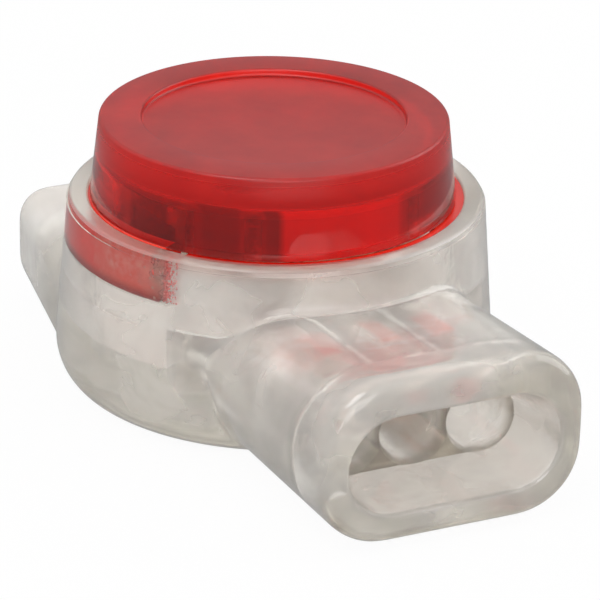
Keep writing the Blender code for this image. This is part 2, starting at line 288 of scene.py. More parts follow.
@dataclass(frozen=True)
class ClearPolypropylene:
    """Clarified polypropylene, injection moulded, as one finish for the whole housing.

    The plastic is slightly milky, so that what is behind it looks soft, and straw coloured where
    it is thick. The polished cavity gives the outside a thin gloss with flow ripples and a few
    drag marks. The core pin leaves the bore matt, which hides what is inside, except where gel
    has wetted it. The thick tail is milkier. The cap's red is painted on the rim as a painted
    reflection, painted red glints of the cap lie at the ends of the channels, and the mouth and
    the core inside the cup are darkened with painted shade.
    """

    places: ClassVar[dict[str, Steps]] = {
        "window": [("Z", 4.6, 4.8), ("X", -2.2, -3.6), ("Y", -4.6, -3.6)],
        # The mouth: painted shade darkens its colour, and it is made clearer.
        "mouth": [("Y", -9.4, -9.9), ("Y", -12.75, -12.5), ("X", -3.9, -3.6), ("X", 3.9, 3.6),
                  ("Z", 0.8, 1.05), ("Z", 4.5, 4.3)],
        "rim": [("Z", 6.02, 6.05)],
        # Where a painted reflection of the cap's red lies on the rim.
        "cap_reflection_zone": [("Z", 5.6, 6.1), ("Y", 0.5, -3.5), ("X", 1.2, -1.4)],
        # The row where the painted red glints lie.
        "channel_ends": [("X", -2.4, -2.2), ("X", 2.4, 2.2), ("Y", -8.9, -8.4), ("Y", -6.4, -7.2),
                         ("Z", 2.7, 2.9), ("Z", 3.9, 3.6)],
        "tail": [("Y", 4.0, 7.0)],
        # Where painted shade darkens the core inside the cup.
        "core": [("Z", 0.7, 0.8), ("Z", 3.55, 3.5)],
    }
    name: str = "clarified_polypropylene_moulded"
    ior: float = 1.49
    span: Pair = (0.25, 0.75)
    pale: str = "fffdfa"
    deep: str = "faf5ef"
    # Painted reflection: the cap's red, painted into the rim's colour.
    cap_red_painted_reflection: str = "f0dad2"
    # Painted reflection: the cap's red, painted into the colour as glints at the ends of the channels.
    painted_red_glint: str = "e87868"
    painted_glint_clear: float = 0.45
    painted_glint_pitch: float = 1.7 * MM
    painted_glint_radii: Pair = (0.5 * MM, 0.2 * MM)
    # Painted shade: the mouth's faces are darkened in colour.
    shade: str = "d6cec6"
    # Painted shade: the core inside the cup is darkened in colour.
    core_painted_shade: str = "e4ddd6"
    skin_clear: Pair = (0.68, 0.86)
    bore_clear: Pair = (0.60, 0.82)
    tail_clear: float = 0.42
    rim_clear: float = 0.86
    mouth_clear: float = 0.90
    wet_clear: float = 0.99
    skin_roughness: Pair = (0.12, 0.26)
    bore_roughness: float = 0.4
    rim_roughness: float = 0.3
    wet_roughness: float = 0.03
    gloss: float = 0.6
    gloss_roughness: float = 0.06
    flow_mm: float = 2.2
    flow_bend: float = 0.5
    ripple_mm: float = 0.8
    ripple_strength: float = 0.28
    ripple_height: float = 0.04 * MM
    scratch_mm: float = 0.4
    scratch_stretch: float = 0.12
    scratch_strength: float = 0.2
    scratch_height: float = 0.02 * MM
    absorbed: str = "f4ecb0"
    density: float = 22.0
    bore_radius: float = 6.0 * MM
    bore_floor: float = 3.45 * MM
    wet_low: float = 4.45 * MM
    wet_high: float = 6.02 * MM
    wet_edge: float = -3.55 * MM
    wet_fade: float = 0.35 * MM
    droplet_mm: float = 0.2
    droplet_range: Pair = (-0.4, 1.0)

    def build(self) -> Material:
        """Make the material.

        Returns:
            The material.
        """
        draft = Draft(self.name, {"IOR": self.ior, "Coat Weight": self.gloss,
                                  "Coat Roughness": self.gloss_roughness})
        flow = draft.add("ShaderNodeTexNoise", {
            "Scale": scale_of(self.flow_mm), "Detail": 3.0, "Distortion": self.flow_bend},
            {"Vector": draft.place}).outputs["Fac"]
        at = {name: draft.region(steps) for name, steps in self.places.items()}
        cup = draft.where([(draft.from_axis(), Side.BELOW, self.bore_radius)])
        bore = draft.product([cup, draft.where([(draft.axes["Z"], Side.ABOVE, self.bore_floor)])])
        wet = self.wetted(draft, bore)
        # Painted reflection: soft red spots at the channels' ends.
        glints = self.painted_glint_spots(draft, at["channel_ends"])
        tone = draft.add("ShaderNodeValToRGB", {
            "stops": [(self.span[0], self.deep), (self.span[1], self.pale)]}, {"Fac": flow}).outputs["Color"]
        tone = draft.overlaid(tone, [
            (at["cap_reflection_zone"], self.cap_red_painted_reflection), (draft.product([cup, at["core"]]), self.core_painted_shade),
            (at["mouth"], self.shade), (glints, self.painted_red_glint)])
        skin_clear, bore_clear, skin_roughness = (draft.add("ShaderNodeMapRange", {
            "interpolation_type": "SMOOTHERSTEP", **between(self.span, limits)}, {"Value": flow}).outputs[0]
            for limits in (self.skin_clear, self.bore_clear, self.skin_roughness))
        clear = draft.overlaid(skin_clear, [
            (at["window"], self.wet_clear), (at["mouth"], self.mouth_clear), (glints, self.painted_glint_clear),
            (at["tail"], self.tail_clear), (bore, bore_clear), (at["rim"], self.rim_clear),
            (wet, self.wet_clear)])
        rough = draft.overlaid(skin_roughness, [
            (at["window"], self.wet_roughness), (bore, self.bore_roughness), (at["rim"], self.rim_roughness),
            (wet, self.wet_roughness)])
        relief = self.relief(draft)
        depth = draft.add("ShaderNodeVolumeAbsorption", {
            "Color": linear(self.absorbed), "Density": self.density})
        return draft.feed({"Base Color": tone, "Transmission Weight": clear, "Roughness": rough,
                           "Normal": relief, "Coat Normal": relief}, Volume=depth.outputs["Volume"])

    def wetted(self, draft: Draft, bore: Socket) -> Socket:
        """Mark where the gel has wetted the bore beside the left tab, ending in droplets.

        Args:
            draft: The material.
            bore: One on the bore.

        Returns:
            One where the wall is wet.
        """
        fade = (self.wet_edge, self.wet_edge + self.wet_fade)
        along = draft.add("ShaderNodeMapRange", between(fade, self.droplet_range), {"Value": draft.axes["Y"]})
        drops = draft.add("ShaderNodeTexVoronoi", {"Scale": scale_of(self.droplet_mm)},
                          {"Vector": draft.place})
        fringe = draft.add("ShaderNodeMath", {"operation": Side.BELOW.value},
                           {0: drops.outputs["Distance"], 1: along.outputs[0]})
        patch = draft.where([(draft.axes["X"], Side.BELOW, 0.0), (draft.axes["Z"], Side.ABOVE, self.wet_low),
                             (draft.axes["Z"], Side.BELOW, self.wet_high)])
        return draft.product([bore, patch, fringe.outputs[0]])

    def painted_glint_spots(self, draft: Draft, row: Socket) -> Socket:
        """Mark a row of soft spots, one at the end of each channel, where the cap's red is painted in as
        glints.

        Args:
            draft: The material.
            row: One in the row that they stand in.

        Returns:
            One in the spots.
        """
        near = draft.add("ShaderNodeMath", {"operation": "PINGPONG", 1: self.painted_glint_pitch / 2},
                         {0: draft.axes["X"]})
        spots = draft.add("ShaderNodeMapRange", {
            "interpolation_type": "SMOOTHSTEP", **between(self.painted_glint_radii)}, {"Value": near.outputs[0]})
        return draft.product([spots.outputs[0], row])

    def relief(self, draft: Draft) -> Socket:
        """Add the flow ripples and the upright drag marks.

        Args:
            draft: The material.

        Returns:
            The normal that they give.
        """
        ripple = draft.add("ShaderNodeTexNoise", {"Scale": scale_of(self.ripple_mm), "Detail": 3.0},
                           {"Vector": draft.place})
        streaks = draft.add("ShaderNodeMapping", {"Scale": (1.0, 1.0, self.scratch_stretch)},
                            {"Vector": draft.place})
        scratch = draft.add("ShaderNodeTexNoise", {"Scale": scale_of(self.scratch_mm), "Detail": 2.0},
                            {"Vector": streaks.outputs["Vector"]})
        waves = draft.add("ShaderNodeBump", {
            "Strength": self.ripple_strength, "Distance": self.ripple_height},
            {"Height": ripple.outputs["Fac"]})
        lines = draft.add("ShaderNodeBump", {
            "Strength": self.scratch_strength, "Distance": self.scratch_height},
            {"Height": scratch.outputs["Fac"], "Normal": waves.outputs["Normal"]})
        return lines.outputs["Normal"]


@dataclass(frozen=True)
class RedPolypropylene:
    """Red see-through polypropylene, injection moulded.

    The sides come polished from the mould with upright flow bands, the top is satin and dusty
    from handling, its edge is worn, and the dye makes thick walls a deeper red. The tabs and the
    ribs carry a painted glow, a lighter red than the rest. Inside the front of the skirt, painted
    light and painted shade lie on the inner wall as bright and dark red bands.
    """

    places: ClassVar[dict[str, Steps]] = {
        "worn": [("Z", 7.75, 8.2)],
        # Where the ribs take a painted glow.
        "ribs": [("X", -2.6, -2.5), ("X", 2.6, 2.5), ("Y", -2.6, -2.5), ("Y", 2.6, 2.5), ("Z", 7.44, 7.40)],
    }
    name: str = "red_polypropylene_moulded"
    ior: float = 1.49
    span: Pair = (0.3, 0.7)
    bright: str = "f02818"
    dark: str = "d81c14"
    clear: Pair = (0.90, 0.98)
    side_roughness: Pair = (0.06, 0.14)
    # Painted glow: the tabs are a lighter red than the rest of the cap.
    tab: str = "ff4832"
    tab_clear: float = 0.1
    skirt_bottom: float = 6.10 * MM
    top_clear: float = 0.8
    top_roughness: float = 0.34
    top_height: float = 8.36 * MM
    top_fade: float = 0.05 * MM
    worn_clear: float = 0.84
    worn_roughness: float = 0.26
    ceiling_roughness: float = 0.45
    ceiling_band: Pair = (7.2 * MM, 7.8 * MM)
    # Painted glow: the ribs are a lighter red than the rest of the cap, hiding their darker roots.
    rib: str = "ff5a40"
    rib_clear: float = 0.35
    absorbed: str = "ff4030"
    density: float = 400.0
    cloud_mm: float = 1.7
    cloud_stretch: float = 0.35
    grain_mm: float = 0.22
    grain_strength: float = 0.12
    grain_height: float = 0.01 * MM
    # Painted light and shade inside the front of the skirt: how far the bands reach and where they lie.
    painted_inner_reach: float = 3.6 * MM
    painted_inner_shift: float = 0.6 * MM
    painted_inner_radius: Pair = (4.8 * MM, 5.02 * MM)
    painted_inner_front: float = -2.2 * MM
    painted_inner_top: float = 7.7 * MM
    painted_inner_clear: float = 0.15
    # Painted glow and painted shade, as bright and dark red bands on the inner wall.
    painted_inner_glow: str = "ff3a22"
    painted_inner_shade: str = "8c1212"

    def build(self) -> Material:
        """Make the material.

        Returns:
            The material.
        """
        draft = Draft(self.name, {"IOR": self.ior})
        upright = draft.add("ShaderNodeMapping", {"Scale": (1.0, 1.0, self.cloud_stretch)},
                            {"Vector": draft.place})
        cloud = draft.add("ShaderNodeTexNoise", {"Scale": scale_of(self.cloud_mm), "Detail": 4.0},
                          {"Vector": upright.outputs["Vector"]}).outputs["Fac"]
        at = {name: draft.region(steps) for name, steps in self.places.items()}
        radius = draft.from_axis()
        painted_inner_colour, painted_inner_cover = self.painted_inner_light_and_shade(draft, radius)
        # The tabs, which take the painted glow.
        tab = draft.where([(draft.axes["Z"], Side.BELOW, self.skirt_bottom)])
        fade = (self.top_height, self.top_height + self.top_fade)
        top = draft.add("ShaderNodeMapRange", between(fade), {"Value": draft.axes["Z"]}).outputs[0]
        ceiling = draft.where([
            (draft.axes["Z"], Side.ABOVE, self.ceiling_band[0]),
            (draft.axes["Z"], Side.BELOW, self.ceiling_band[1]), (radius, Side.BELOW, self.painted_inner_radius[1])])
        tone = draft.add("ShaderNodeValToRGB", {
            "stops": [(self.span[0], self.dark), (self.span[1], self.bright)]},
            {"Fac": cloud}).outputs["Color"]
        tone = draft.overlaid(tone, [(tab, self.tab), (painted_inner_cover, painted_inner_colour), (at["ribs"], self.rib)])
        clear, rough = (
            draft.add("ShaderNodeMapRange", between(self.span, limits), {"Value": cloud}).outputs[0]
            for limits in (self.clear, self.side_roughness))
        clear = draft.overlaid(clear, [
            (top, self.top_clear), (tab, self.tab_clear), (at["worn"], self.worn_clear),
            (painted_inner_cover, self.painted_inner_clear), (at["ribs"], self.rib_clear)])
        rough = draft.overlaid(rough, [
            (ceiling, self.ceiling_roughness), (at["worn"], self.worn_roughness), (top, self.top_roughness)])
        grain = draft.add("ShaderNodeTexNoise", {"Scale": scale_of(self.grain_mm), "Detail": 4.0},
                          {"Vector": draft.place})
        bump = draft.add("ShaderNodeBump", {"Strength": self.grain_strength, "Distance": self.grain_height},
                         {"Height": grain.outputs["Fac"]})
        depth = draft.add("ShaderNodeVolumeAbsorption", {
            "Color": linear(self.absorbed), "Density": self.density})
        return draft.feed({"Base Color": tone, "Transmission Weight": clear, "Roughness": rough,
                           "Normal": bump.outputs["Normal"]}, Volume=depth.outputs["Volume"])

    def painted_inner_light_and_shade(self, draft: Draft, radius: Socket) -> tuple[Socket, Socket]:
        """Paint light and shade on the inner wall at the front of the skirt, as bright and dark red bands.

        Args:
            draft: The material.
            radius: How far each point is from the cup's axis.

        Returns:
            The painted colour, and how far it covers the plastic.
        """
        # gap is the painted shade and full the painted glow.
        gap, full = linear(self.painted_inner_shade), linear(self.painted_inner_glow)
        bare = (*gap[:3], 0.0)
        ends = (-self.painted_inner_reach - self.painted_inner_shift, self.painted_inner_reach - self.painted_inner_shift)
        run = draft.add("ShaderNodeMapRange", between(ends), {"Value": draft.axes["X"]})
        ramp = draft.add("ShaderNodeValToRGB", {"stops": [
            (0.01, bare), (0.06, gap), (0.165, gap), (0.205, bare), (0.235, bare), (0.265, gap), (0.305, gap),
            (0.335, full), (0.82, full), (0.92, bare), (0.97, gap)]}, {"Fac": run.outputs[0]})
        inside = draft.where([
            (radius, Side.ABOVE, self.painted_inner_radius[0]), (radius, Side.BELOW, self.painted_inner_radius[1]),
            (draft.axes["Y"], Side.BELOW, self.painted_inner_front), (draft.axes["Z"], Side.BELOW, self.painted_inner_top)])
        return ramp.outputs["Color"], draft.product([ramp.outputs["Alpha"], inside])


@dataclass(frozen=True)
class TinPlate:
    """Brass strip with bright tin plate, stamped and bent.

    It gives the eye a pale, slightly warm metal with fine lines from rolling.
    """

    name: str = "tin_plated_brass_strip"
    span: Pair = (0.3, 0.7)
    bright: str = "cfcac2"
    dull: str = "a8a198"
    roughness: Pair = (0.22, 0.36)
    rolling_mm: float = 0.8
    rolling_stretch: float = 12.0
    relief_strength: float = 0.15
    relief_height: float = 0.01 * MM

    def build(self) -> Material:
        """Make the material.

        Returns:
            The material.
        """
        draft = Draft(self.name, {"Metallic": 1.0})
        drawn = draft.add("ShaderNodeMapping", {"Scale": (1.0, 1.0, self.rolling_stretch)},
                          {"Vector": draft.place})
        lines = draft.add("ShaderNodeTexNoise", {"Scale": scale_of(self.rolling_mm), "Detail": 5.0},
                          {"Vector": drawn.outputs["Vector"]}).outputs["Fac"]
        tone = draft.add("ShaderNodeValToRGB", {
            "stops": [(self.span[0], self.dull), (self.span[1], self.bright)]}, {"Fac": lines})
        rough = draft.add("ShaderNodeMapRange", between(self.span, self.roughness), {"Value": lines})
        bump = draft.add("ShaderNodeBump", {"Strength": self.relief_strength, "Distance": self.relief_height},
                         {"Height": lines})
        return draft.feed({"Base Color": tone.outputs["Color"], "Roughness": rough.outputs[0],
                           "Normal": bump.outputs["Normal"]})


@dataclass(frozen=True)
class SiliconeGel:
    """Soft silicone sealant gel, poured.

    It gives the eye a clear, slightly yellow filling with soft clouds and small air bubbles.
    """

    name: str = "silicone_sealant_gel"
    ior: float = 1.41
    body: str = "efe8d8"
    bubble: str = "fbf8f0"
    bubble_mm: float = 0.7
    bubble_span: Pair = (0.1, 0.3)
    clear_span: Pair = (0.1, 0.25)
    clear: Pair = (0.6, 0.95)
    roughness: Pair = (0.2, 0.06)

    def build(self) -> Material:
        """Make the material.

        Returns:
            The material.
        """
        draft = Draft(self.name, {"IOR": self.ior})
        distance = draft.add("ShaderNodeTexVoronoi", {"Scale": scale_of(self.bubble_mm)},
                             {"Vector": draft.place}).outputs["Distance"]
        tone = draft.add("ShaderNodeValToRGB", {
            "stops": [(self.bubble_span[0], self.bubble), (self.bubble_span[1], self.body)]},
            {"Fac": distance})
        clear, rough = (
            draft.add("ShaderNodeMapRange", between(span, limits), {"Value": distance}).outputs[0]
            for span, limits in ((self.clear_span, self.clear), (self.bubble_span, self.roughness)))
        return draft.feed({"Base Color": tone.outputs["Color"], "Transmission Weight": clear,
                           "Roughness": rough})


@dataclass(frozen=True)
class SqueezedGel:
    """The same gel squeezed to a film against the wall, and to a bead under the rim.

    It gives the eye a wet window with the cap's red painted into it as painted light: full at the
    left, dusty with trapped air and frosted along its top to the right, a darker painted red along
    its lower edge, and dull where it ends in bubbles. The bead is painted the same full red.
    """

    places: ClassVar[dict[str, Steps]] = {
        "frosted": [("Y", -0.7, -1.3), ("Z", 4.7, 5.2)],
        "lower_edge": [("Z", 4.85, 4.45)],
        "bead": [("X", -5.0, -4.9)],
    }
    name: str = "silicone_gel_film"
    ior: float = 1.45
    roughness: float = 0.05
    # Painted light: the cap's red seen through the film, painted into the gel's colour, also on the bead.
    painted_cap_red: str = "ff3826"
    dusty: str = "fa6658"
    ended: str = "dca094"
    # A darker red of the same painted light, along the film's lower edge.
    edge: str = "b03028"
    frost: str = "f6aea2"
    dusty_span: Pair = (0.22, 0.55)
    painted_red_from: float = 0.74
    clear: Pair = (0.45, 0.35)
    cloud_mm: float = 0.5
    frost_mm: float = 0.25
    frost_span: Pair = (0.38, 0.72)
    frost_share: float = 0.6
    drift: float = 2.2 * MM
    reach: Pair = (-3.4 * MM, 1.0 * MM)
    air_mm: float = 0.22
    air_size: float = 0.24
    air_from: Pair = (-2.9 * MM, -1.4 * MM)

    def build(self) -> Material:
        """Make the material.

        Returns:
            The material.
        """
        draft = Draft(self.name, {"IOR": self.ior, "Roughness": self.roughness})
        at = {name: draft.region(steps) for name, steps in self.places.items()}
        cloud, frost = (draft.add("ShaderNodeTexNoise", {"Scale": scale_of(size), "Detail": detail},
                                  {"Vector": draft.place}).outputs["Fac"]
                        for size, detail in ((self.cloud_mm, 4.0), (self.frost_mm, 5.0)))
        drift = draft.add("ShaderNodeMath", {"operation": "MULTIPLY_ADD", 1: self.drift, 2: -self.drift / 2},
                          {0: cloud})
        run = draft.add("ShaderNodeMath", {"operation": "ADD"}, {0: draft.axes["Y"], 1: drift.outputs[0]})
        along = draft.add("ShaderNodeMapRange", between(self.reach), {"Value": run.outputs[0]}).outputs[0]
        tone = draft.add("ShaderNodeValToRGB", {"stops": [
            (0.0, self.ended), (self.dusty_span[0], self.dusty), (self.dusty_span[1], self.dusty),
            (self.painted_red_from, self.painted_cap_red)]}, {"Fac": along}).outputs["Color"]
        patches = draft.add("ShaderNodeMapRange", between(self.frost_span, (0.0, self.frost_share)),
                            {"Value": frost}).outputs[0]
        size = draft.add("ShaderNodeMapRange", between(self.air_from, (self.air_size, 0.0)),
                         {"Value": draft.axes["Y"]})
        cells = draft.add("ShaderNodeTexVoronoi", {"Scale": scale_of(self.air_mm)}, {"Vector": draft.place})
        air = draft.add("ShaderNodeMath", {"operation": Side.BELOW.value},
                        {0: cells.outputs["Distance"], 1: size.outputs[0]}).outputs[0]
        tone = draft.overlaid(tone, [
            (draft.product([patches, at["frosted"]]), self.frost), (at["lower_edge"], self.edge),
            (air, self.ended), (at["bead"], self.painted_cap_red)])
        clear = draft.add("ShaderNodeMapRange", between((0.0, 1.0), self.clear), {"Value": along}).outputs[0]
        return draft.feed({"Base Color": tone, "Transmission Weight": clear})


@dataclass(frozen=True)
class WhiteTable:
    """White laminated board under and behind the object, matt, seen white, with the shadow kept."""

    name: str = "white_table_board"
    shade: str = "dedede"
    roughness: float = 0.9
    kept_shadow: float = 0.05
    mirrored: float = 0.35

    def build(self) -> Material:
        """Make the material.

        Returns:
            The material.
        """
        draft = Draft(self.name, {"Base Color": linear(self.shade), "Roughness": self.roughness})
        straight, every = seen_straight(draft.tree)
        part = draft.add("ShaderNodeMath", {"operation": "MULTIPLY", 1: 1.0 - self.kept_shadow}, {0: every})
        level = draft.add("ShaderNodeMix", {"data_type": "FLOAT", 2: self.mirrored, 3: 1.0}, {0: straight})
        glow = draft.add("ShaderNodeEmission", {"Color": grey(1.0)}, {"Strength": level.outputs[0]})
        mix = draft.add("ShaderNodeMixShader", links={
            "Fac": part.outputs[0], 1: draft.shader.outputs["BSDF"], 2: glow.outputs["Emission"]})
        return draft.feed({}, Surface=mix.outputs["Shader"])


def arc(centre: Pair, radii: Pair, start: float, end: float, steps: int) -> list[Pair]:
    """Points on an arc of a circle or an ellipse.

    Args:
        centre: The arc's centre.
        radii: The radii along both axes.
        start: The first angle, in degrees.
        end: The last angle, in degrees.
        steps: How many steps the arc has.

    Returns:
        The points, both ends included.
    """
    angles = [math.radians(start + (end - start) * i / steps) for i in range(steps + 1)]
    return [(centre[0] + radii[0] * math.cos(a), centre[1] + radii[1] * math.sin(a)) for a in angles]


def rounded_outline(half_width: float, low: float, high: float, corner: float, steps: int = 16) -> list[Pair]:
    """A rounded rectangle in X and Z.

    Args:
        half_width: Its reach on each side of X = 0.
        low: Its lowest Z.
        high: Its highest Z.
        corner: The corner radius, which is held to half the height.
        steps: The steps of each corner.

    Returns:
        The outline's points.
    """
    corner = min(corner, 0.499 * (high - low), 0.999 * half_width)
    right, left = half_width - corner, corner - half_width
    top, bottom = high - corner, low + corner
    points: list[Pair] = []
    for x, z, start in ((right, top, 0), (left, top, 90), (left, bottom, 180), (right, bottom, 270)):
        points += arc((x, z), (corner, corner), start, start + 90, steps)
    return points


def place_mesh(shape: bmesh.types.BMesh, name: str) -> Thing:
    """Put a bmesh in the scene as an object whose faces point outwards.

    Args:
        shape: The mesh, which is freed.
        name: The object's name.

    Returns:
        The new object.
    """
    bmesh.ops.recalc_face_normals(shape, faces=shape.faces)
    mesh = bpy.data.meshes.new(name)
    shape.to_mesh(mesh)
    shape.free()
    thing = bpy.data.objects.new(name, mesh)
    bpy.context.scene.collection.objects.link(thing)
    return thing


def ring_loft(name: str, rings: list[list[Vector]]) -> Thing:
    """A closed solid through rings of equally many points.

    Args:
        name: The object's name.
        rings: The rings, in order.

    Returns:
        The solid.
    """
    shape = bmesh.new()
    made = [[shape.verts.new(point) for point in ring] for ring in rings]
    for near, far in zip(made, made[1:]):
        for i in range(len(near)):
            j = (i + 1) % len(near)
            shape.faces.new((near[i], near[j], far[j], far[i]))
    shape.faces.new(made[0])
    shape.faces.new(made[-1])
    return place_mesh(shape, name)


def lofted(name: str, sections: list[Section]) -> Thing:
    """A closed solid through outlines in X and Z that stand at places along Y."""
    return ring_loft(name, [[Vector((x, y, z)) for x, z in outline] for y, outline in sections])


def raised(name: str, outline: list[Pair], low: float, high: float) -> Thing:
    """A closed solid with a flat outline in X and Y, between two heights."""
    return ring_loft(name, [[Vector((x, y, z)) for x, y in outline] for z in (low, high)])


def turned(name: str, profile: list[Pair], steps: int = TURN_STEPS, turn: Matrix | None = None) -> Thing:
    """A solid of revolution.

    Args:
        name: The object's name.
        profile: Radii and heights, from the axis round to the axis.
        steps: The steps of a full turn.
        turn: Where the finished solid is placed, or None.

    Returns:
        The solid.
    """
    shape = bmesh.new()
    verts = [shape.verts.new((radius, 0.0, height)) for radius, height in profile]
    edges = [shape.edges.new(pair) for pair in zip(verts, verts[1:])]
    bmesh.ops.spin(shape, geom=verts + edges, cent=(0, 0, 0), axis=(0, 0, 1), angle=2 * math.pi,
                   steps=steps, use_merge=True)
    bmesh.ops.remove_doubles(shape, verts=shape.verts, dist=0.0005 * MM)
    if turn is not None:
        bmesh.ops.transform(shape, matrix=turn, verts=shape.verts)
    return place_mesh(shape, name)


def block(name: str, corner: Triple, opposite: Triple, round_edges: float = 0.0) -> Thing:
    """A box between two opposite corners, with its edges rounded.

    Args:
        name: The object's name.
        corner: One corner.
        opposite: The corner opposite to it.
        round_edges: The radius of its edges.

    Returns:
        The box.
    """
    shape = bmesh.new()
    low, high = (Vector(ends) for ends in zip(*(sorted(pair) for pair in zip(corner, opposite))))
    fit = Matrix.Translation((high + low) / 2) @ Matrix.Diagonal((*(high - low), 1.0))
    bmesh.ops.create_cube(shape, size=1.0, matrix=fit)
    if round_edges:
        bmesh.ops.bevel(shape, geom=shape.edges[:], offset=round_edges, segments=3, profile=0.5,
                        affect="EDGES")
    return place_mesh(shape, name)


def settle(thing: Thing) -> Thing:
    """Apply an object's modifiers to its mesh.

    Args:
        thing: The object.

    Returns:
        The same object.
    """
    bpy.context.view_layer.update()
    seen = thing.evaluated_get(bpy.context.evaluated_depsgraph_get())
    mesh = bpy.data.meshes.new_from_object(seen)
    thing.modifiers.clear()
    old, thing.data = thing.data, mesh
    mesh.name = thing.name
    bpy.data.meshes.remove(old)
    return thing


def combine(target: Thing, tools: list[Thing], how: Cut) -> Thing:
    """Join tools to a target, or cut them from it, one after another.

    Args:
        target: The object that changes.
        tools: The objects used, which are then removed.
        how: Whether they are joined or cut.

    Returns:
        The target.
    """
    for tool in tools:
        step = target.modifiers.new("step", "BOOLEAN")
        step.operation = how.value
        step.solver = "EXACT"
        step.object = tool
    settle(target)
    for tool in tools:
        bpy.data.objects.remove(tool)
    return target


def dress(thing: Thing, finish: Material, sharp_from: float) -> None:
    """Give an object its finish and shade it smooth.

    Args:
        thing: The object.
        finish: Its material.
        sharp_from: The angle in degrees past which an edge stays sharp.
    """
    thing.data.shade_smooth()
    thing.data.set_sharp_from_angle(angle=math.radians(sharp_from))
    thing.data.materials.append(finish)


